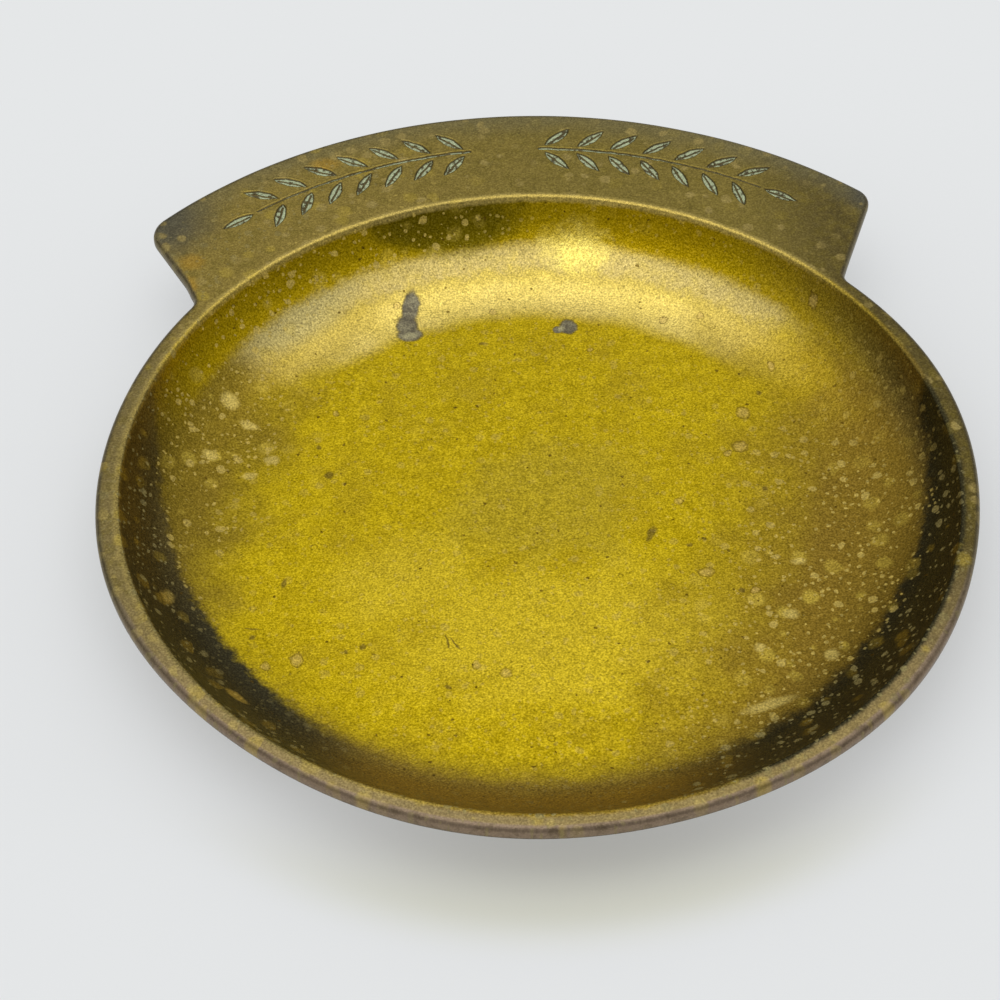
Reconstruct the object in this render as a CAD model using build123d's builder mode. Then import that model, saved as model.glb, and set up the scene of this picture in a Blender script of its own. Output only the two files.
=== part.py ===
"""Coin tray: a shallow round dish cast in brass, with a thick rounded rim that widens at the back into
a flat flared tab with two engraved leaf sprays, standing on a felt disc glued into its foot.

Millimetres, +Z up. The origin is the centre of the felt's underside, and the tab points along +Y.
"""

import os
from math import cos, degrees, hypot, radians, sin

from build123d import *

# Bowl, the hollow that holds the coins
bowl_depth = 12.6
bowl_floor_diameter = 103.0
wall_run = 20.1  # how far the curved wall leans out between the floor's edge and the mouth
floor_thickness = 3.0

# Rim and tab, one flat plate round the mouth
rim_width = 3.4  # from the mouth, if its edge were sharp, to the rim's outside
rim_thickness = 2.8
rim_overhang = 2.2  # how far the rim stands out past the wall below it
tab_depth = 21.8  # from the round rim to the tab's back edge, an arc about the same centre
tab_root_angle = 52.3  # from the middle of the tab to where its ends leave the round rim
tab_back_angle = 45.65  # from the middle to where its ends would meet its back edge in sharp corners
tab_corner_round = 4.5
tab_notch_round = 3.0

# Rounded edges of the casting
mouth_round = 0.8
rim_top_round = 1.25
rim_under_round = 0.95
cove_round = 0.8  # inside corner between the wall and the rim above it
foot_round = 0.5
round_share = 0.45  # the most of a face's width that one of its two roundings takes
lip_share = 0.9  # the most of the rim's flat top that the mouth's rounding takes

# Foot, felt and the film between them
foot_margin = 0.5  # how far the foot stands out past the edge of the bowl's floor above it
foot_width = 4.0
felt_thickness = 1.6
felt_proud = 0.5  # how far the felt stands out below the foot
felt_gap = 0.5  # between the felt's edge and the foot
film_thickness = 0.15
film_margin = 1.0  # how far the film stays back from the felt's edge

# Engraving on the tab
engraving_depth = 0.5
stem_width = 0.9
leaf_length = 7.4
leaf_width = 2.2
leaf_gap = 0.4  # between a leaf's foot and the stem
leaf_spread_angle = 48.0  # between a leaf and the stem
leaf_pairs = 7
pair_start_share = 0.15  # of the spacing between pairs, before the first pair
spray_start_angle = 4.6  # from the middle of the tab to the stem's first end
spray_end_margin_angle = 11.65  # from the stem's last end to the end of the tab's back edge

# Radii and heights that follow from those sizes
bowl_floor_radius = bowl_floor_diameter / 2
mouth_radius = bowl_floor_radius + wall_run
rim_radius = mouth_radius + rim_width
tab_radius = rim_radius + tab_depth
wall_top_radius = rim_radius - rim_overhang
foot_radius = bowl_floor_radius + foot_margin
recess_radius = foot_radius - foot_width
felt_radius = recess_radius - felt_gap
film_radius = felt_radius - film_margin
stem_radius = (rim_radius + tab_radius) / 2

foot_bottom = felt_proud
floor_bottom = felt_thickness + film_thickness
foot_height = floor_bottom - foot_bottom
bowl_floor = floor_bottom + floor_thickness
rim_top = bowl_floor + bowl_depth
rim_bottom = rim_top - rim_thickness
rim_middle = rim_top - rim_thickness / 2
overrun = rim_thickness  # how far a cut or a joined solid runs past the face that it starts from

# Rounded edges, each within its share of the faces beside it
rim_top_rounding = min(rim_top_round, round_share * rim_thickness)
rim_under_rounding = min(rim_under_round, round_share * min(rim_thickness, rim_overhang))
cove_rounding = min(cove_round, round_share * rim_overhang)
mouth_rounding = min(mouth_round, lip_share * (rim_radius - rim_top_rounding - mouth_radius))
foot_rounding = min(foot_round, round_share * min(foot_height, foot_width))
hollow_radius = mouth_radius + mouth_rounding  # the widest that the bowl's cut gets, on the rim's top


def on_tab(radius, angle):
    """The point at this distance from the dish's centre and this angle from the middle of the tab."""
    return radius * sin(radians(angle)), radius * cos(radians(angle))


def mirrored(point):
    """The same point on the left half of the tab."""
    return -point[0], point[1]


def beyond(start, end, length):
    """The point past the end of this line by this length."""
    reach = 1 + length / hypot(end[0] - start[0], end[1] - start[1])
    return start[0] + (end[0] - start[0]) * reach, start[1] + (end[1] - start[1]) * reach


tab_root = on_tab(rim_radius, tab_root_angle)
tab_corner = on_tab(tab_radius, tab_back_angle)
tab_start = beyond(tab_corner, tab_root, overrun)  # inside the round rim, where the two shapes join

# One leaf of the engraving, with its foot at the origin and its tip along +X
with BuildSketch() as leaf:
    with BuildLine():
        ThreePointArc((0, 0), (leaf_length / 2, leaf_width / 2), (leaf_length, 0))
        ThreePointArc((leaf_length, 0), (leaf_length / 2, -leaf_width / 2), (0, 0))
    make_face()

spray_end_angle = tab_back_angle - spray_end_margin_angle
spray_angle = spray_end_angle - spray_start_angle
leaf_offset = stem_width / 2 + leaf_gap  # from the stem's middle to a leaf's foot


def leaf_places(side):
    """Where the leaves of one spray lie: pairs along the stem and one leaf past its end."""
    along = 90 * (1 - side)  # turns +X towards the tab's end on this side
    places = []
    for pair in range(leaf_pairs):
        angle = spray_start_angle + spray_angle * (pair + pair_start_share) / leaf_pairs
        for flank in (-1, 1):
            x, y = on_tab(stem_radius + flank * leaf_offset, side * angle)
            places.append(Location((x, y, 0), (0, 0, along - side * (angle - flank * leaf_spread_angle))))
    x, y = on_tab(stem_radius, side * (spray_end_angle + degrees(leaf_offset / stem_radius)))
    places.append(Location((x, y, 0), (0, 0, along - side * spray_end_angle)))
    return places


# Two sprays, each a curved stem with pairs of leaves and one leaf at its end
left_stem = CenterArc((0, 0), stem_radius, 90 + spray_start_angle, spray_angle)
right_stem = CenterArc((0, 0), stem_radius, 90 - spray_start_angle, -spray_angle)
with BuildSketch() as sprays:
    SlotArc(left_stem, stem_width)
    SlotArc(right_stem, stem_width)
    with Locations(leaf_places(-1), leaf_places(1)):
        add(leaf.sketch)

# The casting: foot, bowl, rim and tab in one piece of metal
with BuildPart() as tray_casting:
    # Solid dish up to the middle of the rim, with the wall's outside as one arc
    with BuildSketch(Plane.XZ):
        with BuildLine():
            Polyline((0, rim_middle), (0, foot_bottom), (foot_radius, foot_bottom))
            Line((foot_radius, foot_bottom), (foot_radius, floor_bottom))
            TangentArc((foot_radius, floor_bottom), (wall_top_radius, rim_bottom), tangent=(1, 0))
            Polyline((wall_top_radius, rim_bottom), (wall_top_radius, rim_middle), (0, rim_middle))
        make_face()
    revolve(axis=Axis.Z)

    # Rim and tab, one plate of even thickness with rounded corners
    with BuildSketch(Plane.XY.offset(rim_bottom)) as plate_outline:
        Circle(rim_radius)
        with BuildLine():
            Polyline(mirrored(tab_corner), mirrored(tab_start), tab_start, tab_corner)
            ThreePointArc(tab_corner, (0, tab_radius), mirrored(tab_corner))
        make_face()
        corners = plate_outline.vertices().filter_by(lambda v: v.Y > (tab_root[1] + tab_corner[1]) / 2)
        fillet(corners, tab_corner_round)
        notches = plate_outline.vertices().filter_by(lambda v: abs(v.Y - tab_root[1]) < tab_notch_round)
        notches = notches.filter_by(lambda v: abs(abs(v.X) - tab_root[0]) < tab_notch_round)
        fillet(notches, tab_notch_round)
    extrude(amount=rim_thickness)

    # Rounded outer edges, and the inside corner where the wall runs into the rim
    level_faces = tray_casting.faces().filter_by(Plane.XY)
    fillet(level_faces.sort_by(Axis.Z)[-1].edges(), rim_top_rounding)
    level_faces = tray_casting.faces().filter_by(Plane.XY)
    under_face = level_faces.sort_by(lambda f: abs(f.center().Z - rim_bottom))[0]
    fillet(under_face.outer_wire().edges(), rim_under_rounding)
    circles = tray_casting.edges().filter_by(GeomType.CIRCLE)
    cove = circles.sort_by(lambda e: hypot(e.radius - wall_top_radius, e.center().Z - rim_bottom))[0]
    fillet(cove, cove_rounding)

    # The hollow of the bowl: a flat floor, one arc up the wall and a rounded mouth
    with BuildSketch(Plane.XZ) as hollow:
        with BuildLine():
            Polyline((hollow_radius, rim_top), (hollow_radius, rim_top + overrun), (0, rim_top + overrun))
            Polyline((0, rim_top + overrun), (0, bowl_floor), (bowl_floor_radius, bowl_floor))
            TangentArc((bowl_floor_radius, bowl_floor), (mouth_radius, rim_top), tangent=(1, 0))
            Line((mouth_radius, rim_top), (hollow_radius, rim_top))
        make_face()
        lip = hollow.vertices().sort_by(lambda v: hypot(v.X - mouth_radius, v.Y - rim_top))[0]
        fillet(lip, mouth_rounding)
    revolve(axis=Axis.Z, mode=Mode.SUBTRACT)

    # Recess for the felt, which leaves the foot as a ring
    with BuildSketch(Plane.XY.offset(foot_bottom)):
        Circle(recess_radius)
    extrude(amount=foot_height, mode=Mode.SUBTRACT)
    foot_face = tray_casting.faces().filter_by(Plane.XY).sort_by(Axis.Z)[0]
    fillet(foot_face.edges(), foot_rounding)

    # The engraving, cut to an even depth
    with BuildSketch(Plane.XY.offset(rim_top)):
        add(sprays.sketch)
    extrude(amount=-engraving_depth, mode=Mode.SUBTRACT)

# Film and felt, stacked under the bowl's floor
with BuildPart() as adhesive_film:
    with BuildSketch(Plane.XY.offset(felt_thickness)):
        Circle(film_radius)
    extrude(amount=film_thickness)

with BuildPart() as felt_pad:
    with BuildSketch(Plane.XY):
        Circle(felt_radius)
    extrude(amount=felt_thickness)

os.makedirs("parts", exist_ok=True)
pieces = {"tray_casting": tray_casting, "adhesive_film": adhesive_film, "felt_pad": felt_pad}
for name, piece in pieces.items():
    piece.part.label = name
    export_step(piece.part, f"parts/{name}.step")
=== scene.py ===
"""Looks of the coin tray: an old cast-brass dish with a flared tab, tarnished and speckled by use."""

from math import atan2, cos, degrees, pi, radians, sin, sqrt, tan

import bpy
import numpy as np
from mathutils import Matrix, Vector


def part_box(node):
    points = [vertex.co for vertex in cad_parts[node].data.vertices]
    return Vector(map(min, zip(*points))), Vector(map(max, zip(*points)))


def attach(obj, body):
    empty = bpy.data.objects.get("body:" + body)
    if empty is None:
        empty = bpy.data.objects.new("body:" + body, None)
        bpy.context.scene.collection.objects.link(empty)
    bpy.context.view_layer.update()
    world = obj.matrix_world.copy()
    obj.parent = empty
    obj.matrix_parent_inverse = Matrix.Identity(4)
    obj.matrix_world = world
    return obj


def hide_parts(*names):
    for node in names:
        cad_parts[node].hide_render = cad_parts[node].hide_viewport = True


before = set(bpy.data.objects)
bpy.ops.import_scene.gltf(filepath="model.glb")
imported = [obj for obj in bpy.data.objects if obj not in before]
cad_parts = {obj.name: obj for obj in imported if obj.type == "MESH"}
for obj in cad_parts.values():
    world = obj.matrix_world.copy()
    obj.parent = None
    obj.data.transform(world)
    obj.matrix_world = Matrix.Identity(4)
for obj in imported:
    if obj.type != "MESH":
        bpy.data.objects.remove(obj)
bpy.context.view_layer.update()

MM = 0.001

# Camera, as the photograph was taken: angles in degrees, distances from the middle of the dish's mouth
camera_azimuth = -3.84
camera_elevation = 47.3
camera_roll = -0.2
camera_distance = 409.8 * MM
camera_slide_right = 6.8 * MM
camera_slide_up = 5.3 * MM
lens_length = 86.4
sensor_width = 36.0

# Sizes of the casting that the frame gives
casting_low, casting_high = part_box("tray_casting")
felt_low, felt_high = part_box("felt_pad")
rim_radius = casting_high.x
tab_radius = casting_high.y
rim_top = casting_high.z
foot_bottom = casting_low.z

# Sizes of the casting that lie inside its outline
bowl_depth = 12.6 * MM
bowl_floor_radius = 51.5 * MM
mouth_radius = 71.6 * MM
mouth_round = 0.8 * MM
rim_thickness = 2.8 * MM
rim_overhang = 2.2 * MM
rim_top_round = 1.25 * MM
rim_under_round = 0.95 * MM
cove_round = 0.8 * MM
floor_bottom = 1.75 * MM
foot_radius = 52.0 * MM
foot_width = 4.0 * MM
foot_round = 0.5 * MM
right_root_angle = 53.1
left_root_angle = 51.6
tab_back_angle = 45.65
tab_notch_round = 3.0 * MM
left_corner_round = 5.6 * MM
right_corner_round = 4.0 * MM
rim_bottom = rim_top - rim_thickness
bowl_floor = rim_top - bowl_depth
wall_top_radius = rim_radius - rim_overhang
wall_run = mouth_radius - bowl_floor_radius
wall_curve = (wall_run**2 + bowl_depth**2) / (2 * bowl_depth)

# How far the mouth and the rim stray from true circles: waves round the dish, each with its number of
# swells, its height in millimetres and the angle of its crest
mouth_waves = ((1, 0.35, -10),)
rim_waves = ((1, 0.43, -23), (2, 0.20, -149), (3, 0.11, 86), (4, 0.12, -35), (6, 0.28, 87))

# Engraving: two leaf sprays on the tab
engraving_depth = 0.5 * MM
stem_radius = (rim_radius + tab_radius) / 2
stem_width = 0.9 * MM
leaf_length = 7.4 * MM
leaf_width = 2.2 * MM
leaf_gap = 0.4 * MM
leaf_spread_angle = 48.0
leaf_pairs = 7
pair_start_share = 0.15
spray_start_angle = 4.6
spray_end_angle = 34.0
spray_tip_angle = spray_end_angle + degrees((stem_width / 2 + leaf_gap + leaf_length) / stem_radius)

# Spacing of the casting's mesh
fine_angle = 0.126
end_angle = 0.45
coarse_angle = 1.5
coarse_every = 7  # of the fine columns, one in so many is a coarse one
fine_step = 0.185 * MM
loose_step = 1.1 * MM
fine_half_width = 7.3 * MM  # of the finely meshed strip along the stems
fine_margin_angle = 1.0  # past the sprays' tips
tab_margin_angle = 1.5  # of the rim beside the tab that belongs to the tab's patch
patch_margin = 0.3 * MM  # from the patch to the mouth and to the outer edge
rows_to_outside = 5  # from the rim's flat top to where the mark for the outside is full


# Small helpers for meshes

def lattice_noise(x, y, size, seed):
    """Smooth random hills about one unit high and one size apart, the same on every run."""
    heights = np.random.default_rng(seed).uniform(-1, 1, (64, 64))
    x, y = np.asarray(x) / size, np.asarray(y) / size
    column, row = np.floor(x).astype(int), np.floor(y).astype(int)
    right, up = x - column, y - row
    right, up = right * right * (3 - 2 * right), up * up * (3 - 2 * up)
    corner = {(i, j): heights[(column + i) % 64, (row + j) % 64] for i in (0, 1) for j in (0, 1)}
    low = corner[0, 0] * (1 - right) + corner[1, 0] * right
    high = corner[0, 1] * (1 - right) + corner[1, 1] * right
    return low * (1 - up) + high * up


def smooth_step(value, start, end):
    """0 before start, 1 after end and an S-shaped rise between them."""
    share = np.clip((np.asarray(value) - start) / (end - start), 0, 1)
    return share * share * (3 - 2 * share)


def arc_points(centre, radius, start, end, count):
    """Points along an arc in a profile, from one angle to another in degrees."""
    angles = np.radians(np.linspace(start, end, count))
    return [(centre[0] + radius * cos(a), centre[1] + radius * sin(a)) for a in angles]


def new_piece(name, points, faces, material):
    """A smooth mesh object with one material."""
    mesh = bpy.data.meshes.new(name)
    mesh.from_pydata([tuple(p) for p in points], [], faces)
    mesh.validate()
    mesh.materials.append(material)
    mesh.shade_smooth()
    piece = bpy.data.objects.new(name, mesh)
    bpy.context.scene.collection.objects.link(piece)
    return piece


def set_piece(piece, slot, *nodes):
    """The piece stands for these nodes and rides on the one body; the slot is not used."""
    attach(piece, "root")
    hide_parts(*nodes)


# Outline of the rim and tab

def line_circle(start, direction, radius):
    """Where a line leaves a circle about the dish's centre."""
    along = start.dot(direction)
    return start + direction * (sqrt(radius**2 - start.length_squared + along**2) - along)


def polar(radius, angle):
    """A point at this distance from the dish's centre and this angle from the middle of the tab."""
    return Vector((radius * sin(radians(angle)), radius * cos(radians(angle))))


def half_outline(root_angle, corner_round):
    """Points and outward normals from the middle of the tab to the front of the rim, on the right."""
    root = polar(rim_radius, root_angle)
    back = polar(tab_radius, tab_back_angle)
    end_line = (back - root).normalized()
    outward = Vector((end_line.y, -end_line.x))
    corner = line_circle(root - outward * corner_round, end_line, tab_radius - corner_round)
    notch = line_circle(root + outward * tab_notch_round, end_line, rim_radius + tab_notch_round)
    corner_angle = np.degrees(atan2(corner.x, corner.y))
    notch_angle = np.degrees(atan2(notch.x, notch.y))
    end_angle_of_line = np.degrees(atan2(outward.x, outward.y))

    found = []
    fine_end = spray_tip_angle + fine_margin_angle
    for angle in np.arange(0, fine_end, fine_angle):
        found.append((polar(tab_radius, angle), polar(1, angle)))
    for angle in np.linspace(fine_end, corner_angle, 1 + round((corner_angle - fine_end) / end_angle)):
        found.append((polar(tab_radius, angle), polar(1, angle)))
    for angle in np.linspace(corner_angle, end_angle_of_line, 12)[1:]:
        found.append((corner + polar(corner_round, angle), polar(1, angle)))
    line_start = corner + outward * corner_round
    line_end = notch - outward * tab_notch_round
    for share in np.linspace(0, 1, 18)[1:-1]:
        found.append((line_start.lerp(line_end, share), outward))
    for angle in np.linspace(end_angle_of_line, notch_angle, 8):
        found.append((notch - polar(tab_notch_round, angle), polar(1, angle)))
    for angle in np.linspace(notch_angle, 180, 1 + round((180 - notch_angle) / coarse_angle))[1:]:
        found.append((polar(rim_radius, angle), polar(1, angle)))
    return found


def whole_outline():
    """The closed outline and its outward normals, clockwise from the middle of the tab."""
    right = half_outline(right_root_angle, right_corner_round)
    left = half_outline(left_root_angle, left_corner_round)
    left = [(Vector((-p.x, p.y)), Vector((-n.x, n.y))) for p, n in left[1:-1]]
    both = right + left[::-1]
    points = np.array([p for p, n in both])
    normals = np.array([n for p, n in both])
    return points, normals


outline, outline_normals = whole_outline()
count = len(outline)
angles = np.degrees(np.arctan2(outline[:, 0], outline[:, 1]))
spokes = outline / np.hypot(outline[:, 0], outline[:, 1])[:, None]
tab_last = int(np.argmax(angles > right_root_angle + tab_margin_angle))
tab_first = count - int(np.argmax(-angles[::-1] > left_root_angle + tab_margin_angle)) - 1
tab_columns = list(range(tab_first, count)) + list(range(0, tab_last + 1))
fine_zone = np.abs(angles) < spray_tip_angle + 0.9
coarse_columns = [j for j in range(count) if not fine_zone[j] or min(j, count - j) % coarse_every == 0]


# Engraved leaf sprays, as a depth below the tab's top

def leaf_places():
    """Foot and direction of each leaf: pairs along each stem and one leaf past its end."""
    places = []
    offset = stem_width / 2 + leaf_gap
    for side in (-1, 1):
        for pair in range(leaf_pairs):
            share = (pair + pair_start_share) / leaf_pairs
            angle = spray_start_angle + (spray_end_angle - spray_start_angle) * share
            for flank in (-1, 1):
                foot = polar(stem_radius + flank * offset, side * angle)
                places.append((foot, side * (90 + angle - flank * leaf_spread_angle)))
        foot = polar(stem_radius, side * (spray_end_angle + np.degrees(offset / stem_radius)))
        places.append((foot, side * (90 + spray_end_angle)))
    return places


def engraved_depth(x, y):
    """How far below the tab's top the engraving is at each point, and how deep into a stroke it lies."""
    def wandered(place, seed):
        """Places moved a little, as an uneven hand would cut."""
        place = place + 0.10 * MM * lattice_noise(x, y, 1.3 * MM, seed)
        return place + 0.05 * MM * lattice_noise(x, y, 0.5 * MM, seed + 1)

    wander_x, wander_y = wandered(x, 11), wandered(y, 13)
    inset = np.full(len(x), -1.0)
    radius = np.hypot(wander_x, wander_y)
    angle = np.degrees(np.arctan2(wander_x, wander_y))
    middle = (spray_start_angle + spray_end_angle) / 2
    past = np.abs(np.abs(angle) - middle) - (spray_end_angle - spray_start_angle) / 2
    past = np.radians(np.clip(past, 0, None)) * stem_radius
    taper = 1 - 0.45 * smooth_step(np.abs(angle), spray_start_angle, spray_end_angle)
    inset = np.maximum(inset, stem_width / 2 * taper - np.hypot(radius - stem_radius, past))
    vein = np.zeros(len(x))
    for foot, turn in leaf_places():
        along_x, along_y = sin(radians(turn)), cos(radians(turn))
        along = (wander_x - foot.x) * along_x + (wander_y - foot.y) * along_y
        across = (wander_x - foot.x) * along_y - (wander_y - foot.y) * along_x
        share = np.clip(along / leaf_length, 0, 1)
        width = leaf_width / 2 * 4 * share * (1 - share) * (1.12 - 0.24 * share)
        leaf = np.where((along > 0) & (along < leaf_length), width - np.abs(across), -1.0)
        inset = np.maximum(inset, leaf)
        ridge = np.exp(-(across / (0.17 * MM)) ** 2) * smooth_step(width, 0.35 * MM, 0.7 * MM)
        vein = np.maximum(vein, np.where(leaf > 0, ridge, 0))
    slope = smooth_step(inset, -0.05 * MM, 0.30 * MM)
    uneven = 0.86 + 0.16 * lattice_noise(x, y, 2.6 * MM, 15)
    depth = engraving_depth * slope * uneven * (1 - 0.34 * vein)
    burr = 0.035 * MM * np.exp(-((inset + 0.16 * MM) / (0.16 * MM)) ** 2) * (inset > -0.8 * MM)
    return depth - burr, slope * (1 - 0.8 * vein)


# Rows of the casting's mesh, from the middle of the bowl's floor out over the rim and back underneath

def casting_rows():
    """Each row is (columns, x and y of every column, z)."""
    wall_centre = (bowl_floor_radius, bowl_floor + wall_curve)
    lip_z = rim_top - mouth_round
    lip_r = bowl_floor_radius + sqrt((wall_curve + mouth_round) ** 2 - (wall_centre[1] - lip_z) ** 2)
    lip_angle = np.degrees(atan2(wall_centre[1] - lip_z, lip_r - bowl_floor_radius))

    inside = [(r * MM, bowl_floor) for r in (6, 12, 18, 24, 29, 34, 38, 42, 45, 48)]
    inside += arc_points(wall_centre, wall_curve, -90, -lip_angle, 30)
    inside += arc_points((lip_r, lip_z), mouth_round, 180 - lip_angle, 90, 9)[1:]

    rows = []
    for r, z in inside:
        if r < 10 * MM:
            columns = coarse_columns[::8]
        elif r < 20 * MM:
            columns = coarse_columns[::4]
        elif r < 36 * MM:
            columns = coarse_columns[::2]
        else:
            columns = coarse_columns
        rows.append((columns, spokes * r, z))

    # Rounded outer edge and side of the rim and tab
    edge = [(rim_top_round * (1 - sin(a)), rim_top - rim_top_round * (1 - cos(a)))
            for a in np.linspace(0, pi / 2, 7)]
    edge += [(rim_under_round * (1 - cos(a)), rim_bottom + rim_under_round * (1 - sin(a)))
             for a in np.linspace(0, pi / 2, 7)]
    edge_rows = [(coarse_columns, outline - outline_normals * inset, z) for inset, z in edge]

    # Underside: cove, outer wall, foot and the felt's recess
    cove_centre = (wall_top_radius + cove_round, rim_bottom - cove_round)
    outer_run = wall_top_radius - foot_radius
    outer_rise = rim_bottom - floor_bottom
    outer_curve = (outer_run**2 + outer_rise**2) / (2 * outer_rise)
    outer_centre = (foot_radius, floor_bottom + outer_curve)
    wall_end_z = cove_centre[1] - 0.9 * cove_round
    wall_end = np.degrees(atan2(wall_end_z - outer_centre[1], outer_run))
    under = arc_points(cove_centre, cove_round, 90, 165, 5)
    under += arc_points(outer_centre, outer_curve, wall_end, -90, 16)
    under += [(foot_radius, floor_bottom - 0.3 * MM)]
    under += arc_points((foot_radius - foot_round, foot_bottom + foot_round), foot_round, 0, -90, 4)
    recess_radius = foot_radius - foot_width
    under += arc_points((recess_radius + foot_round, foot_bottom + foot_round), foot_round, -90, -180, 4)
    under += [(recess_radius, floor_bottom), (40 * MM, floor_bottom), (20 * MM, floor_bottom)]
    under_rows = [(coarse_columns if r > 36 * MM else coarse_columns[::4], spokes * r, z) for r, z in under]
    return rows, edge_rows, under_rows


def strayed(angle, waves):
    """How far a circle with these waves lies outside a true one, at angles in radians."""
    return sum(height * MM * np.cos(swells * angle - radians(crest)) for swells, height, crest in waves)


def shaped(points):
    """The unevenness of a hand-made casting, added to points of the casting."""
    x, y, z = points.T
    radius = np.hypot(x, y)
    angle = np.arctan2(x, y)
    at_rim = smooth_step(radius, mouth_radius, rim_radius)
    stray = strayed(angle, mouth_waves) * (1 - at_rim) + strayed(angle, rim_waves) * at_rim
    back = 0.3 * MM - 0.3e-3 * MM * (np.degrees(angle) - 6) ** 2
    at_tab = smooth_step(radius, rim_radius + 1 * MM, rim_radius + 7 * MM)
    stray = (stray * (1 - at_tab) + back * at_tab) * smooth_step(radius, 40 * MM, mouth_radius)
    hills = 0.05 * MM * lattice_noise(x, y, 17 * MM, 21) + 0.02 * MM * lattice_noise(x, y, 6 * MM, 22)
    reach = 1 + stray / np.maximum(radius, 1 * MM)
    return np.column_stack([x * reach, y * reach, z + hills])


def stitch(faces, row_a, row_b):
    """Joins two closed rows of (column, vertex), where one may have only some of the other's columns."""
    a, b = dict(row_a), dict(row_b)
    shared = sorted(set(a) & set(b))
    for start, end in zip(shared, shared[1:] + shared[:1]):
        def run(row):
            """The row's points from one shared column to the next."""
            keys = sorted(row)
            i = keys.index(start)
            found = [keys[i]]
            while found[-1] != end:
                i = (i + 1) % len(keys)
                found.append(keys[i])
            return [row[k] for k in found]
        faces.append(run(a)[::-1] + run(b))


def make_casting(material):
    """The whole casting as one closed mesh, finest where the tab is engraved."""
    inside_rows, edge_rows, under_rows = casting_rows()
    points, engraving, outside, faces = [], [], [], []

    def add_row(columns, xy, z, depth=None, mark=None, out=0.0):
        """Adds a row of points and returns each one's column and number."""
        start = len(points)
        for i, j in enumerate(columns):
            points.append((xy[j][0], xy[j][1], z - (depth[i] if depth is not None else 0)))
            engraving.append(mark[i] if mark is not None else 0.0)
            outside.append(out)
        return [(j, start + i) for i, j in enumerate(columns)]

    rows = [add_row(*row) for row in inside_rows]
    middle_top = len(points)
    points.append((0, 0, bowl_floor))
    engraving.append(0.0)
    outside.append(0.0)
    first = [v for _, v in rows[0]]
    faces += [[v, w, middle_top] for v, w in zip(first, first[1:] + first[:1])]
    for a, b in zip(rows, rows[1:]):
        stitch(faces, a, b)

    # Tab's top: a fine patch between the mouth and the outer edge
    inner = inside_rows[-1][1]
    outer = edge_rows[0][1]
    reach = tab_radius - rim_top_round - np.hypot(*inner[0])
    first_stop = stem_radius - fine_half_width - np.hypot(*inner[0])
    last_stop = stem_radius + fine_half_width - np.hypot(*inner[0])
    stops = list(np.arange(patch_margin, first_stop, loose_step))
    stops += list(np.arange(first_stop, last_stop, fine_step))
    stops += list(np.linspace(last_stop, reach - patch_margin, 5))
    patch = []
    for stop in stops:
        xy = inner + (outer - inner) * stop / reach
        here = xy[tab_columns]
        depth, mark = engraved_depth(here[:, 0], here[:, 1])
        patch.append(add_row(tab_columns, xy, rim_top, depth, mark))

    # Around the rest of the rim the flat top is a single strip
    mouth_row, edge_row = rows[-1], add_row(*edge_rows[0])
    mouth, edge = dict(mouth_row), dict(edge_row)
    coarse = [j for j, _ in mouth_row]
    in_tab = set(tab_columns)
    first_column, last_column = tab_columns[0], tab_columns[-1]
    for a, b in zip(coarse, coarse[1:] + coarse[:1]):
        if a in in_tab and b in in_tab:
            lows = fine_between(tab_columns, a, b)
            low_row, high_row = dict(patch[0]), dict(patch[-1])
            faces.append([mouth[b], mouth[a]] + [low_row[j] for j in lows])
            faces.append([high_row[j] for j in lows[::-1]] + [edge[a], edge[b]])
        else:
            left_side = [dict(row)[a] for row in patch] if a == last_column else []
            right_side = [dict(row)[b] for row in patch] if b == first_column else []
            faces.append([mouth[b], mouth[a]] + left_side + [edge[a], edge[b]] + right_side[::-1])
    for low, high in zip(patch, patch[1:]):
        low, high = [v for _, v in low], [v for _, v in high]
        for i in range(len(low) - 1):
            faces.append([low[i + 1], low[i], high[i], high[i + 1]])

    outer_rows = [edge_row]
    for i, row in enumerate(edge_rows[1:] + under_rows):
        outer_rows.append(add_row(*row, out=min(1, (i + 1) / rows_to_outside)))
    for a, b in zip(outer_rows, outer_rows[1:]):
        stitch(faces, a, b)
    middle_under = len(points)
    points.append((0, 0, floor_bottom))
    engraving.append(0.0)
    outside.append(1.0)
    last = [v for _, v in outer_rows[-1]]
    faces += [[w, v, middle_under] for v, w in zip(last, last[1:] + last[:1])]

    piece = new_piece("cast_tray", shaped(np.array(points)), faces, material)
    for name, values in (("engraved", engraving), ("outside", outside)):
        stored = piece.data.attributes.new(name, "FLOAT", "POINT")
        stored.data.foreach_set("value", np.array(values, np.float32))
    return piece


def fine_between(columns, start, end):
    """The fine columns from one coarse column to the next, both included."""
    i, j = columns.index(start), columns.index(end)
    return columns[i:j + 1]


# Shader maths: sums and products of wires add the nodes that work them out

class Wire:
    """A number, vector or colour that changes over a surface."""

    def __init__(self, nodes, socket):
        self.nodes, self.socket = nodes, socket

    def math(self, operation, *values):
        """Adds a node of plain maths."""
        return self.nodes.node("Math", {"operation": operation}, dict(enumerate(values)))

    def __add__(self, other):
        return self.math("ADD", self, other)

    __radd__ = __add__

    def __sub__(self, other):
        return self.math("SUBTRACT", self, other)

    def __rsub__(self, other):
        return self.math("SUBTRACT", other, self)

    def __mul__(self, other):
        return self.math("MULTIPLY", self, other)

    __rmul__ = __mul__

    def __truediv__(self, other):
        return self.math("DIVIDE", self, other)

    def distance(self):
        return self.math("ABSOLUTE", self)

    def at_most(self, other):
        return self.math("MINIMUM", self, other)

    def at_least(self, other):
        return self.math("MAXIMUM", self, other)

    def rise(self, start, end):
        """0 before start, 1 after end, smooth between; the other way round where start is the higher."""
        inputs = {"Value": self, "From Min": start, "From Max": end}
        return self.nodes.node("MapRange", {"interpolation_type": "SMOOTHSTEP"}, inputs)


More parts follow.
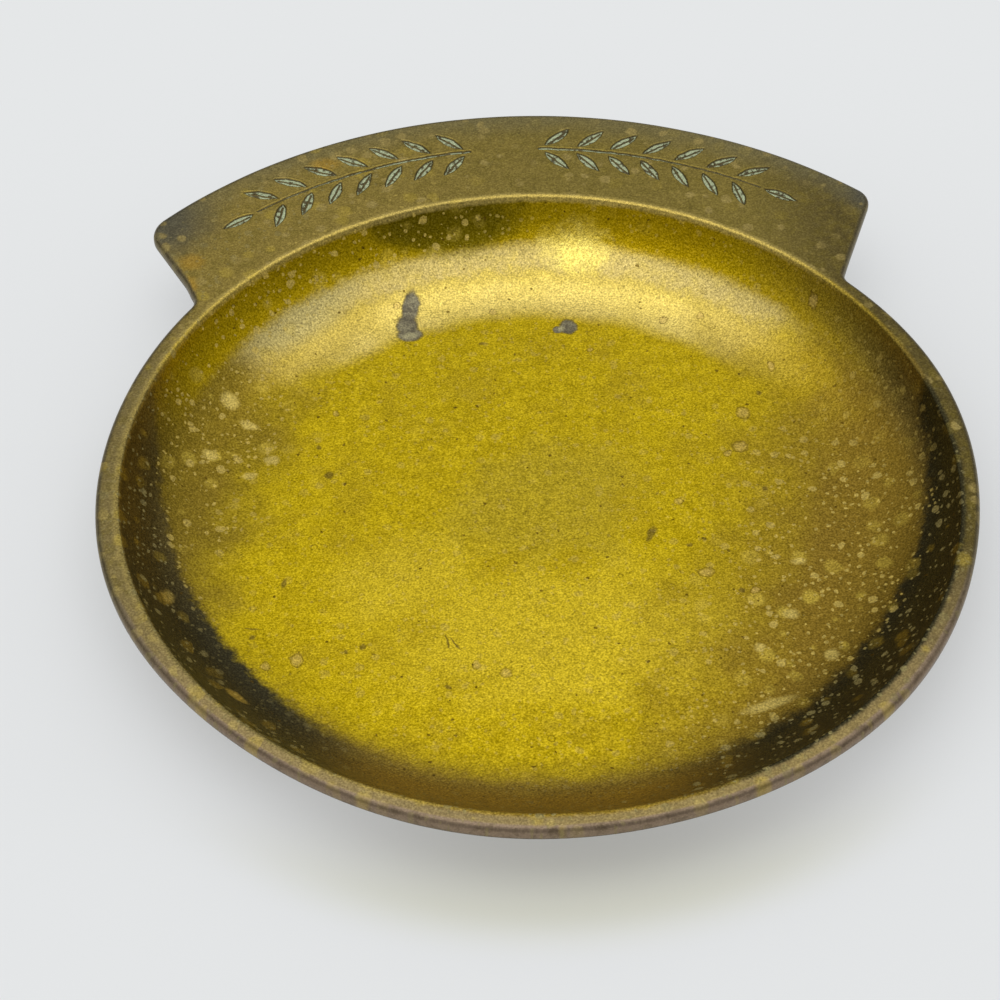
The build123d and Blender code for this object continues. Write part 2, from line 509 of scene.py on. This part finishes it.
def linear(*screen):
    """A colour written as 0 to 255 on screen, in the linear values that Blender wants."""
    steps = [c / 255 for c in screen]
    return tuple(c / 12.92 if c <= 0.04045 else ((c + 0.055) / 1.055) ** 2.4 for c in steps) + (1.0,)


pale_room = linear(229, 231, 232)


def metal(*screen):
    """The base colour of bare metal that shows this colour where it mirrors the pale room."""
    return tuple(min(1.0, c / pale_room[1]) for c in linear(*screen)[:3]) + (1.0,)


class Nodes:
    """The nodes of a material or of the world, while they are being joined."""

    def __init__(self, tree, whole):
        self.tree, self.whole = tree, whole
        self.tree.nodes.clear()

    def node(self, kind, settings=None, inputs=None, output=0):
        """Adds one node: its settings first, then the values or links of its sockets."""
        made = self.tree.nodes.new("ShaderNode" + kind)
        for name, value in (settings or {}).items():
            setattr(made, name, value)
        for name, value in (inputs or {}).items():
            if isinstance(value, Wire):
                self.tree.links.new(value.socket, made.inputs[name])
            else:
                made.inputs[name].default_value = value
        return Wire(self, made.outputs[output])

    def vector(self, operation, inputs, output=0):
        """Adds a node of vector maths, which works on places and on colours."""
        return self.node("VectorMath", {"operation": operation}, inputs, output)

    def also(self, wire, output):
        """Another output of the node that a wire comes from."""
        return Wire(self, wire.socket.node.outputs[output])

    def colours(self, share, under, over):
        """The under colour, covered by the over colour by this share."""
        inputs = {"Factor": share, 6: under, 7: over}
        return self.node("Mix", {"data_type": "RGBA"}, inputs, output=2)

    def seen(self):
        """1 for what the camera sees, also in metal and through glass."""
        camera = self.node("LightPath", output="Is Camera Ray")
        mirrored = camera.at_least(self.also(camera, "Is Glossy Ray"))
        return mirrored.at_least(self.also(camera, "Is Transmission Ray"))

    def shown(self, shader):
        """Joins a shader to the output of the material or the world."""
        end = self.tree.nodes.new("ShaderNodeOutput" + self.whole)
        self.tree.links.new(shader.socket, end.inputs["Surface"])


class Finish(Nodes):
    """A material under construction. Its places are in millimetres, in the tray's own frame."""

    def __init__(self, name):
        self.material = bpy.data.materials.new(name)
        self.material.use_nodes = True
        super().__init__(self.material.node_tree, "Material")
        place = self.node("TexCoord", output="Object")
        self.place = self.vector("SCALE", {0: place, "Scale": 1 / MM})
        self.x = self.node("SeparateXYZ", inputs={0: self.place}, output="X")
        self.y = self.also(self.x, "Y")
        self.z = self.also(self.x, "Z")
        self.plan = self.vector("MULTIPLY", {0: self.place, 1: (1, 1, 0)})
        self.radius = self.vector("LENGTH", {0: self.plan}, "Value")

        # Places for spots and stains, which waver so that their outlines come out ragged
        waver = 1.1
        swirl = {"Vector": self.plan, "Scale": 0.6, "Detail": 2.0}
        swirl = self.node("TexNoise", inputs=swirl, output="Color")
        swirl = self.vector("MULTIPLY_ADD", {0: swirl, 1: (waver, waver, 0), 2: self.plan})
        self.ragged = self.vector("SUBTRACT", {0: swirl, 1: (waver / 2, waver / 2, 0)})
        self.unrolled = self.ragged

    def moved(self, shift, places=None):
        """The places, moved, so that the same pattern falls elsewhere."""
        places = self.place if places is None else places
        return self.vector("ADD", {0: places, 1: shift})

    def clouds(self, size, detail=2.0, shift=0.0, rough=0.5, twist=0.0):
        """Soft noise between 0 and 1 with hills this many millimetres apart."""
        inputs = {"Vector": self.moved((shift, -shift, 2 * shift)), "Scale": 1 / size,
                  "Detail": detail, "Roughness": rough, "Distortion": twist}
        return self.node("TexNoise", inputs=inputs)

    def cells(self, spacing, radius, luck, shift):
        """Scattered ragged spots of mixed sizes: millimetres in from a spot's edge, below 0 outside it."""
        inputs = {"Vector": self.moved((shift, shift, 0), self.unrolled), "Scale": 1 / spacing}
        far = self.node("TexVoronoi", {"voronoi_dimensions": "2D"}, inputs, output="Distance")
        pick = self.node("SeparateColor", inputs={0: self.also(far, "Color")}, output="Red")
        return pick.rise(1 - luck, 1) * radius - far * spacing

    def nearest(self, *places):
        """Distance to the nearest of some ellipses in the plan, 1 on its edge. Each is x, y, half its
        length, half its width and its turn."""
        found = None
        for x, y, half_length, half_width, turn in places:
            across, up = cos(radians(turn)), sin(radians(turn))
            along = self.towards(across, up, x, y, half_length)
            aside = self.towards(-up, across, x, y, half_width)
            far = along.math("SQRT", along * along + aside * aside)
            found = far if found is None else found.at_most(far)
        return found

    def towards(self, right, up, x, y, reach):
        """How far places lie from x, y in one direction, as a share of the reach."""
        along = {0: self.ragged, 1: (right / reach, up / reach, 0)}
        return self.vector("DOT_PRODUCT", along, "Value") - (x * right + y * up) / reach

    def bumped(self, height, depth, strength=1.0):
        """A normal that follows a height between 0 and 1, this many metres deep."""
        return self.node("Bump", inputs={"Height": height, "Distance": depth, "Strength": strength})

    def surface(self, **inputs):
        """The finished material: one principled shader with its sockets filled."""
        sockets = {name.replace("_", " "): value for name, value in inputs.items()}
        self.shown(self.node("BsdfPrincipled", inputs=sockets))
        return self.material


# Finishes

def aged_brass():
    """Old brass: worn gold in the bowl, brown and black tarnish on its walls and an olive tab."""
    f = Finish("aged_brass")
    x, y, z, radius = f.x, f.y, f.z, f.radius
    floor_edge, mouth, rim_low = bowl_floor_radius / MM, mouth_radius / MM, rim_bottom / MM
    outside = f.node("Attribute", {"attribute_name": "outside"}, output="Fac")
    cut = f.node("Attribute", {"attribute_name": "engraved"}, output="Fac")
    wide = f.clouds(34, 3, shift=3)
    patchy = f.clouds(10, 4, shift=17, rough=0.6)
    mottle = f.clouds(2.6, 4, shift=29, rough=0.7, twist=0.4)

    # Spots lie on the wall as if it were rolled out flat, so that its steepness doesn't stretch them
    curve = wall_curve / MM
    run = ((radius - floor_edge).at_least(0) / curve).at_most(0.89)
    longer = (run.math("ARCSINE", run) - run) * curve
    f.unrolled = f.vector("SCALE", {0: f.ragged, "Scale": 1 + longer / radius.at_least(40)})

    # Gold of the bowl, brightest where it is worn
    tone = f.colours(mottle.rise(0.34, 0.66), metal(184, 159, 17), metal(167, 143, 7))
    tone = f.colours(patchy.rise(0.46, 0.68) * 0.4, tone, metal(152, 128, 26))
    worn = f.nearest((1, -26, 32, 15, 0), (-24, -12, 13, 10, 20)) + (patchy - 0.5) * 1.6
    tone = f.colours(worn.rise(1.3, 0.5) * 0.55, tone, metal(196, 171, 42))
    centre = f.nearest((2, 4, 20, 14, 25)) + (patchy - 0.5) * 1.8
    tone = f.colours(centre.rise(1.2, 0.6) * 0.5, tone, metal(156, 136, 40))

    # Brown tarnish on the right and olive on the left
    right = x - y.at_most(0) * 0.45 - y.at_least(0) * 0.25
    right = (right + (wide - 0.5) * 16 + (patchy - 0.5) * 18).rise(22, 60)
    tone = f.colours(right * 0.95, tone, metal(116, 92, 30))
    left = (y * 0.25 - x + (wide - 0.5) * 10 + (patchy - 0.5) * 14).rise(43, 60)
    tone = f.colours(left * 0.9, tone, metal(112, 92, 28))

    # Two pale bands on the far wall, the higher one greyer, and a hazy sheen at their left end: painted
    # reflections of the overhead lamps
    far = (y + (patchy - 0.5) * 12).rise(34, 47)
    low_reflection_band = (radius + (patchy - 0.5) * 3).rise(floor_edge - 1.5, floor_edge + 3)
    low_reflection_band = low_reflection_band * (radius + (mottle - 0.5) * 5).rise(63.5, 59)
    high_reflection_band = (radius + (mottle - 0.5) * 5).rise(59.5, 63.5) * x.distance().rise(60, 47)
    tone = f.colours(low_reflection_band * far * (0.55 + patchy * 0.7), tone, metal(203, 180, 96))
    tone = f.colours(high_reflection_band * far * (0.5 + mottle * 0.8), tone, metal(178, 158, 94))
    dull = f.nearest((-37, 46, 15, 5, 40), (41, 40, 13, 5, -44)) + (patchy - 0.5) * 0.7
    tone = f.colours(dull.rise(1.4, 0.5) * 0.6, tone, metal(152, 130, 50))
    painted_sheen = f.nearest((-41, 50, 15, 4.5, 40)) + (patchy - 0.5) * 0.7
    tone = f.colours(painted_sheen.rise(1.3, 0.3) * 0.7, tone, metal(164, 150, 96))

    # Saturated dark gold above them, with a painted highlight: a bright hot spot
    high = (radius + (mottle - 0.5) * 3).rise(65.2, 67.4)
    tone = f.colours(high * y.rise(16, 36), tone, metal(156, 130, 5))
    moss = f.nearest((-13, 68.5, 15, 3.8, 5)) + (mottle - 0.5) * 0.8
    tone = f.colours(moss.rise(1.35, 0.65) * 0.95, tone, metal(98, 84, 4))
    moss = f.nearest((28, 64, 12, 3.2, -25)) + (mottle - 0.5) * 0.8
    tone = f.colours(moss.rise(1.35, 0.65) * 0.8, tone, metal(156, 128, 3))
    bright = f.nearest((12.0, 64.0, 5.0, 2.8, -10)) + (mottle - 0.5) * 1.6
    tone = f.colours(bright.rise(1.9, 0) * 0.95, tone, metal(224, 202, 100))
    # Darker high on the right wall under the rim: painted shade over the brown tarnish
    tone = f.colours(right * radius.rise(64, 69) * 0.7, tone, metal(98, 83, 42))

    # Black low on both sides and brown between them: tarnish where wear never reaches, darkened further by
    # a painted reflection of the dark surroundings
    reach = f.vector("DISTANCE", {0: f.plan, 1: (1.7, 12, 0)}, "Value")
    reach = reach + (patchy - 0.5) * 3.5 + (mottle - 0.5) * 4.5
    front = y.rise(-24, -54)
    side = ((x + 6).distance() + (wide - 0.5) * 10).rise(17, 40)
    low_side = (y + (mottle - 0.5) * 3).rise(21, 14)
    tarnish_and_dark_reflection = f.colours((y - x * 0.4).rise(-5, 30) * 0.8, metal(54, 49, 30), metal(100, 84, 40))
    tarnish_and_dark_reflection = f.colours(low_side, metal(104, 88, 40), tarnish_and_dark_reflection)
    tarnish_and_dark_reflection = f.colours(side, metal(138, 113, 38), tarnish_and_dark_reflection)
    tone = f.colours((reach + front).rise(64, 70) * front * 0.45, tone, metal(142, 116, 34))
    starts = front * 0.8 - low_side * 2 + 68.2
    tone = f.colours(reach.rise(starts, starts + 2.2 + front * 2), tone, tarnish_and_dark_reflection)

    # Rim and tab, olive brown, browner to the left and greyer at the back edge and corners
    top = (radius + (mottle - 0.5) * 0.5).rise(mouth + 0.2, mouth + 1.0)
    plate = f.colours((x + (patchy - 0.5) * 40).rise(-38, 14), metal(136, 117, 56), metal(122, 106, 49))
    plate = f.colours(x.rise(40, 64), plate, metal(84, 72, 36))
    plate = f.colours((x + y * 0.5).rise(-28, -58), plate, metal(117, 102, 62))
    plate = f.colours(mottle.rise(0.42, 0.66) * 0.5, plate, metal(108, 94, 36))
    plate = f.colours((radius + (patchy - 0.5) * 6).rise(88, 97) * 0.6, plate, metal(106, 100, 74))
    slate = f.nearest((-68, 68, 13, 11, 0), (70, 68, 6, 6, 0)) + (patchy - 0.5) * 0.8
    plate = f.colours(slate.rise(1.3, 0.4) * 0.75, plate, metal(74, 73, 66))
    amber = f.nearest((-60.2, 57.4, 2.6, 2.4, 0), (-60.6, 51, 1.8, 2.6, 0), (-35, 84, 3, 2, 0))
    plate = f.colours(amber.rise(1.3, 0.4) * 0.5, plate, metal(166, 128, 40))
    tone = f.colours(top, tone, plate)

    # Worn edge of the mouth with a painted highlight along it, brightest at the back and all but gone on
    # the right
    lip = (radius + (mottle - 0.5) * 0.5).rise(mouth - 0.4, mouth)
    lip = lip * (radius + (mottle - 0.5)).rise(mouth + 1.6, mouth + 0.4)
    lip = lip * (x - y * 0.7).rise(42, 8) * outside.rise(0.3, 0)
    tone = f.colours(lip * (0.35 + y.rise(30, 60) * 0.35), tone, metal(182, 160, 90))

    # Mauve skin on the outside of the rim, and dark brown under it: a painted shade along the rim's lower
    # edge, with brown gold further down
    face = (y + (patchy - 0.5) * 30).rise(-18, -48)
    skin_and_under_shade = f.colours(face, metal(104, 94, 66), metal(128, 110, 91))
    skin_and_under_shade = f.colours(mottle.rise(0.45, 0.7) * 0.6, skin_and_under_shade, metal(88, 74, 54))
    skin_and_under_shade = f.colours(z.rise(rim_low + 0.95, rim_low + 0.45), skin_and_under_shade, metal(50, 42, 30))
    skin_and_under_shade = f.colours(z.rise(rim_low - 0.65, rim_low - 2.05), skin_and_under_shade, metal(112, 94, 50))
    drawn = face * (radius + (mottle - 0.5) * 1.2).rise(mouth, mouth + 0.8)
    tone = f.colours(drawn * 0.55, tone, metal(138, 119, 84))
    edge = (outside + (mottle - 0.5) * 0.5 + face * (radius - (mouth + 1.4)) * 0.4).rise(0.1, 0.6)
    tone = f.colours(edge, tone, skin_and_under_shade)

    # Pale specks and soft blotches, thick on the tarnish and thin on the gold
    crowd = (right * 0.9).at_least(left * 0.9).at_least(radius.rise(60, 68) * 0.8).at_least(0.25)
    crowd = crowd * (patchy * 1.4 + wide - 0.7).rise(0.05, 0.6) * (1 - (x + y).rise(50, 78) * 0.7)
    heap = f.nearest((43, -24, 23, 19, -50), (-54, 20, 14, 20, 10)) + (patchy - 0.5) * 1.5
    blotches = f.cells(4.6, 2.1, 0.62, 15).rise(0, 1.0) * (heap.rise(1.4, 0.3) * 0.6).at_least(crowd * 0.4)
    tone = f.colours(blotches, tone, metal(180, 156, 60))
    tan = f.cells(3.4, 1.5, 0.55, 31).rise(0, 0.6) * top * (patchy * 1.4 + wide - 0.7).rise(0.1, 0.6)
    tone = f.colours(tan * (0.65 - outside * 0.4), tone, metal(154, 135, 78))
    dots = f.cells(1.2, 0.42, 0.5, 5).rise(0, 0.14).at_least(f.cells(2.9, 0.95, 0.36, 9).rise(0, 0.3))
    specks = (dots * crowd * 1.5).at_most(1) * (0.8 - top * 0.4)
    speck_tone = f.colours(reach.rise(67, 70), linear(186, 162, 78), linear(142, 130, 80))
    tone = f.colours(specks, tone, speck_tone)

    # Faint outlines of dried drops, and small pits
    rings = (f.cells(7.5, 0.9, 0.5, 23) - 0.12).distance().rise(0.13, 0.03)
    pits = f.cells(4.1, 0.36, 0.45, 13).rise(0, 0.15)
    marks = (rings * 0.4).at_least(pits * 0.8) * radius.rise(mouth + 0.4, mouth - 0.6)
    tone = f.colours(marks, tone, metal(84, 64, 12))

    # Larger dried drops with a tan middle
    ringed = f.nearest(
        (39.1, 23.2, 1.3, 1.7, 0), (37.4, 14.7, 1.6, 1.5, 0), (34.9, 13.4, 0.9, 0.8, 30),
        (45.8, 34.3, 0.7, 1.1, 0), (27.4, 48.4, 0.9, 1.0, 0), (54.3, 42.9, 0.8, 1.3, 10),
        (34.3, 48.1, 0.7, 0.8, 0), (-4.5, 53.3, 0.7, 0.8, 0), (-22.6, 54.9, 0.7, 0.8, 0),
        (12.9, 41.7, 0.6, 0.7, 0), (24.8, 2.2, 0.8, 0.8, 0), (27.5, -14.4, 1.4, 1.2, 0),
        (35.3, -19.0, 0.9, 0.8, 0), (-47.8, -30.0, 0.9, 1.1, 0), (-42.6, -28.7, 1.1, 1.5, 0),
        (-12.9, -31.7, 0.8, 0.9, 0), (-8.2, -33.9, 1.0, 1.0, 0), (-34.8, 28.3, 0.6, 0.7, 0))
    tone = f.colours(ringed.rise(1.0, 0.5) * 0.5, tone, metal(178, 150, 84))
    tone = f.colours((ringed - 0.9).distance().rise(0.22, 0.04) * 0.5, tone, metal(92, 70, 24))

    # Pale smears and splashes
    pale = f.nearest(
        (34.1, -43.9, 4.4, 1.1, 14), (45.8, -34.6, 1.2, 1.3, 0), (34.3, -31.4, 0.9, 0.9, 0),
        (43.7, -13.0, 1.2, 0.8, 0), (-53.8, 30.5, 1.5, 1.7, 0), (-50.5, 25.8, 1.7, 0.9, -15),
        (-57.4, 17.9, 1.2, 1.2, 0), (-63.6, -18.1, 1.0, 1.6, 0), (-46.5, 17.5, 1.3, 1.0, 0),
        (-52.1, -39.4, 2.0, 0.8, -40), (40.5, -24.6, 1.4, 1.1, 0), (-50.4, 13.9, 1.2, 0.9, 0))
    tone = f.colours(pale.rise(1.4, 0.5) * 0.75, tone, linear(204, 180, 96))

    # Grey stains with a dark outline, and dark spots and scratches
    grey = f.nearest(
        (-20.0, 54.6, 1.5, 3.4, -12), (-20.9, 50.6, 1.9, 2.2, 0), (-20.4, 48.2, 2.3, 1.6, 0),
        (9.4, 48.2, 1.6, 1.9, 0), (7.4, 47.6, 1.0, 0.9, 0))
    smoke = f.colours(mottle.rise(0.4, 0.62), linear(90, 82, 60), linear(132, 124, 94))
    tone = f.colours(grey.rise(1.2, 0.85), tone, smoke)
    tone = f.colours((grey - 1).distance().rise(0.25, 0.05) * 0.35, tone, linear(84, 72, 44))
    crust = f.nearest((-20.4, 48.1, 1.5, 1.0, 0), (8.0, 47.8, 0.8, 0.8, 0))
    tone = f.colours(crust.rise(1.2, 0.4) * 0.7, tone, linear(176, 168, 124))
    dark = f.nearest(
        (42.7, 28.1, 0.6, 0.8, 0), (-38.0, 20.1, 0.6, 0.6, 0), (-36.4, 13.1, 0.9, 0.9, 0),
        (-44.6, -11.9, 0.5, 1.1, 0), (-50.0, -21.6, 1.3, 0.22, 0), (-50.0, -23.6, 0.6, 0.7, 0),
        (19.1, -5.0, 0.7, 2.0, -25), (28.1, -6.8, 0.4, 0.4, 0), (33.1, -18.8, 0.6, 0.5, 0),
        (40.3, 4.2, 0.6, 0.6, 0), (-17.5, -26.6, 0.22, 1.9, 10), (-16.2, -27.0, 0.22, 1.9, 32),
        (-31.6, -26.7, 0.6, 0.8, 0), (-34.5, -27.4, 0.4, 0.5, 0), (-17.8, -36.2, 0.5, 0.5, 0),
        (-7.1, 44.8, 0.7, 0.4, 0), (25.5, -8.0, 0.6, 0.5, 0), (-1.1, 41.6, 0.3, 0.4, 0))
    tone = f.colours(dark.rise(1.3, 0.5) * 0.65, tone, linear(84, 66, 34))

    # Residue in the engraving
    chalk = cut.rise(0.62, 0.95) * f.clouds(0.9, 3, shift=71).rise(0.36, 0.5)
    tone = f.colours(cut.rise(0.05, 0.5) * 0.85, tone, linear(58, 50, 30))
    tone = f.colours(chalk, tone, linear(168, 178, 142))

    # Nothing of the bowl's pattern under the rim and on the outside of the wall
    tone = f.colours(outside * z.rise(rim_low + 0.65, rim_low + 0.15), tone, skin_and_under_shade)

    # Fine grain of the cast metal
    pebble = f.clouds(1.0, 2, shift=41, rough=0.7)
    grit = f.clouds(0.34, 1, shift=57)
    grain = 1 + ((grit - 0.5) * 1.7 + (pebble - 0.5) * 0.5) * (1 - top * 0.35 - edge * 0.4)
    tone = f.vector("SCALE", {0: tone, "Scale": grain})
    # Painted glints: pale sparkle added to the colour on the grain's high points
    glints = (grit - 0.5).at_least(0)
    tone = f.vector("MULTIPLY_ADD", {0: glints, 1: (0.11, 0.11, 0.05), 2: tone})

    bare = 1 - (specks * 0.35).at_least(chalk).at_least(cut * 0.6).at_least(grey.rise(1.1, 0.8) * 0.7)
    rough = 0.33 + top * 0.08 + specks * 0.2 + chalk * 0.3 + (pebble - 0.5) * 0.12
    normal = f.bumped(pebble * 0.55 + grit * 0.45, 0.09 * MM, strength=0.7)
    return f.surface(Base_Color=tone, Metallic=bare, Roughness=rough, Normal=normal)


def wool_felt():
    """Dense green felt."""
    f = Finish("wool_felt")
    tuft = f.clouds(1.1, 5, rough=0.7)
    hair = f.clouds(0.35, 3, shift=7, twist=3.0)
    tone = f.colours(tuft.rise(0.3, 0.7), linear(38, 56, 42), linear(60, 82, 60))
    tone = f.colours(hair.rise(0.5, 0.75) * 0.5, tone, linear(96, 116, 88))
    normal = f.bumped(tuft * 0.4 + hair * 0.6, 0.25 * MM)
    return f.surface(Base_Color=tone, Roughness=0.95, Sheen_Weight=0.4, Sheen_Roughness=0.5, Normal=normal)


def clear_film():
    """Thin double-sided film with a few trapped bubbles."""
    f = Finish("clear_film")
    crease = f.clouds(6, 3, twist=1.5)
    bubble = f.cells(4, 0.8, 0.5, 0).rise(0, 0.2)
    tone = f.colours(crease, linear(206, 200, 178), linear(226, 221, 203))
    tone = f.colours(bubble, tone, linear(188, 178, 150))
    normal = f.bumped(crease + bubble * 0.4, 0.05 * MM)
    return f.surface(Base_Color=tone, Roughness=0.35 + crease * 0.2, Normal=normal)


# Felt pad

def make_felt(material):
    """A die-cut felt disc with a soft edge and an uneven nap."""
    radius = felt_high.x
    low, high = felt_low.z, felt_high.z
    edge_round = 0.35 * MM
    profile = [(share * radius, high) for share in (0.25, 0.5, 0.7, 0.85, 0.95)]
    profile += arc_points((radius - edge_round, high - edge_round), edge_round, 90, 0, 5)
    profile += arc_points((radius - edge_round, low + edge_round), edge_round, 0, -90, 5)
    profile += [(share * radius, low) for share in np.linspace(0.97, 0.02, 46)]
    turns = 300
    points, faces = [(0, 0, high)], []
    for r, z in profile:
        for k in range(turns):
            a = 2 * pi * k / turns
            points.append((r * sin(a), r * cos(a), z))
    for i in range(len(profile) - 1):
        for k in range(turns):
            a, b = 1 + i * turns + k, 1 + i * turns + (k + 1) % turns
            faces.append([a, b, b + turns, a + turns])
    faces += [[0, 1 + (k + 1) % turns, 1 + k] for k in range(turns)]
    points.append((0, 0, low))
    last = 1 + (len(profile) - 1) * turns
    faces += [[len(points) - 1, last + k, last + (k + 1) % turns] for k in range(turns)]
    points = np.array(points)
    nap = 0.5 + 0.5 * lattice_noise(points[:, 0], points[:, 1], 1.9 * MM, 31)
    under = points[:, 2] < (low + high) / 2
    points[:, 2] += np.where(under, 0.12 * MM * nap, 0)
    wobble = 1 - 0.003 * (0.5 + 0.5 * lattice_noise(points[:, 0] * 2, points[:, 1] * 2, 5 * MM, 32))
    points[:, :2] *= wobble[:, None]
    return new_piece("felt_disc", points, faces, material)


# Stage: floor, dark cards, lamps and world

def make_floor():
    """A wide pale floor that turns into the plain background away from the tray."""
    f = Finish("pale_floor")
    tone = f.colours(f.clouds(160, 2), linear(228, 230, 231), linear(231, 233, 234))
    near_front = f.y.rise(-50, -80) * f.radius.rise(88, 77)
    # Painted light: a yellow tint close to the tray's front, as cast back onto the floor by the brass
    tone = f.colours(near_front * 0.6, tone, linear(226, 226, 200))
    matte = f.node("BsdfDiffuse", inputs={"Color": tone})
    plain = f.node("Emission", inputs={"Color": pale_room})
    # The floor glows less right at the tray's front, a painted shadow, and more further out in front, which
    # lightens that shadow
    share = 0.44 - near_front * 0.32 + f.y.rise(-40, -70) * f.radius.rise(79, 92) * 0.14
    share = share + (f.radius + f.y * 0.8).rise(80, 270) * 0.56
    mixed = f.node("MixShader", inputs={0: share * f.seen(), 1: matte, 2: plain})
    behind = f.node("NewGeometry", output="Backfacing")
    f.shown(f.node("MixShader", inputs={0: behind, 1: mixed, 2: f.node("BsdfTransparent")}))
    half = 6.0
    corners = [(-half, -half, 0), (half, -half, 0), (half, half, 0), (-half, half, 0)]
    new_piece("floor", corners, [[0, 1, 2, 3]], f.material)


def make_cards():
    """A ring of dark cards round the tray, out of the picture, which shows only in the metal."""
    f = Finish("dark_card")
    cover = f.node("Attribute", {"attribute_name": "cover"}, output="Fac")
    dark = f.node("Emission", inputs={"Color": linear(46, 42, 34)})
    f.shown(f.node("MixShader", inputs={0: cover, 1: f.node("BsdfTransparent"), 2: dark}))

    # For each direction, from behind the tray clockwise: the height in degrees up to which the cards are
    # full, the height where they have faded out, and how dark they are
    cards = {0: (8, 38, 0.80), 19: (0, 26, 0.70), 45: (8, 30, 0.88), 57: (22, 34, 0.80), 70: (10, 40, 0.60),
             98: (20, 50, 0.50), 127: (30, 52, 0.60), 143: (30, 56, 0.55), 168: (38, 62, 0.50),
             186: (34, 58, 0.45), 226: (28, 54, 0.50), 258: (20, 38, 0.55), 272: (15, 37, 0.70),
             286: (12, 36, 0.80), 300: (12, 28, 0.90), 320: (8, 24, 0.90), 350: (20, 38, 0.90)}
    sides = sorted(cards) + [360]
    table = np.array([cards[side % 360] for side in sides])
    reach = 0.9
    turns, levels = 120, 14
    points, covers, faces = [], [], []
    for k in range(turns):
        turn = 360 * k / turns
        right, back = reach * sin(radians(turn)), reach * cos(radians(turn))
        full, none, darkness = (np.interp(turn, sides, column) for column in table.T)
        for level in range(levels + 1):
            share = max(0, (level - 2) / (levels - 2))
            height = full * min(1, level / 2) + (none - full) * share
            points.append((right, back, reach * tan(radians(height))))
            covers.append(float(darkness * (1 - smooth_step(share, 0, 1))))
    step = levels + 1
    for k in range(turns):
        for level in range(levels):
            a, b = k * step + level, (k + 1) % turns * step + level
            faces.append([a, b, b + 1, a + 1])
    ring = new_piece("dark_cards", points, faces, f.material)
    stored = ring.data.attributes.new("cover", "FLOAT", "POINT")
    stored.data.foreach_set("value", np.array(covers, np.float32))
    ring.visible_camera = False
    ring.visible_diffuse = False
    ring.visible_shadow = False


def add_lamp(name, direction, distance, size_x, size_y, brightness):
    """A soft lamp that faces the tray; at brightness 1 it looks white where metal mirrors it."""
    lamp = bpy.data.lights.new(name, "AREA")
    lamp.shape = "RECTANGLE"
    lamp.size, lamp.size_y = size_x, size_y
    lamp.energy = 4 * size_x * size_y * brightness
    holder = bpy.data.objects.new(name, lamp)
    back = Vector(direction).normalized()
    right = Vector((1, 0, 0))
    right = (right - back * right.dot(back)).normalized()
    up = back.cross(right)
    place = Vector((0, 0, rim_top)) + back * distance
    holder.matrix_world = Matrix.Translation(place) @ Matrix((right, up, back)).transposed().to_4x4()
    bpy.context.scene.collection.objects.link(holder)
    return holder


def make_lamps():
    """A soft box overhead, two long strips, a small bright lamp and a ceiling that metal doesn't mirror."""
    add_lamp("soft_box", (0.0, 0.04, 1), 1.0, 1.25, 0.95, 0.38)
    add_lamp("back_strip", (0.0, 0.36, 1), 1.0, 1.3, 0.16, 0.35)
    add_lamp("front_strip", (-0.05, -0.34, 1), 1.0, 1.3, 0.14, 0.25)
    add_lamp("small_lamp", (-0.24, -0.42, 1), 1.0, 0.12, 0.36, 1.1)
    ceiling = add_lamp("ceiling", (-0.25, -0.7, 1), 1.2, 1.8, 1.8, 0.55)
    ceiling.visible_glossy = False


def make_world():
    """Pale where it is seen, also in metal, and a plain level of light on the object."""
    world = bpy.data.worlds.new("studio")
    world.use_nodes = True
    w = Nodes(world.node_tree, "World")
    light = w.node("Background", inputs={"Color": (1, 1, 1, 1), "Strength": 0.56})
    plain = w.node("Background", inputs={"Color": pale_room})
    w.shown(w.node("MixShader", inputs={0: w.seen(), 1: light, 2: plain}))
    bpy.context.scene.world = world


def make_camera():
    """The photograph's view, as an offset from the middle of the dish's mouth."""
    a, e, roll = radians(camera_azimuth), radians(camera_elevation), radians(camera_roll)
    forward = Vector((-sin(a) * cos(e), cos(a) * cos(e), -sin(e)))
    level_right = Vector((cos(a), sin(a), 0))
    level_up = level_right.cross(forward)
    right = level_right * cos(roll) + level_up * sin(roll)
    up = level_up * cos(roll) - level_right * sin(roll)
    centre = Vector((0, 0, rim_top))
    place = centre - right * camera_slide_right - up * camera_slide_up - forward * camera_distance
    data = bpy.data.cameras.new("camera")
    data.sensor_width = sensor_width
    data.lens = lens_length
    data.clip_start = 0.01
    camera = bpy.data.objects.new("camera", data)
    camera.matrix_world = Matrix.Translation(place) @ Matrix((right, up, -forward)).transposed().to_4x4()
    bpy.context.scene.collection.objects.link(camera)
    bpy.context.scene.camera = camera


make_camera()
brass = aged_brass()
tray = make_casting(brass)
set_piece(tray, "aged_brass", "tray_casting")
felt = make_felt(wool_felt())
set_piece(felt, "felt", "felt_pad")
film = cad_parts["adhesive_film"]
film.data.materials.clear()
film.data.materials.append(clear_film())
make_floor()
make_cards()
make_lamps()
make_world()

bpy.context.scene.view_settings.view_transform = "Standard"
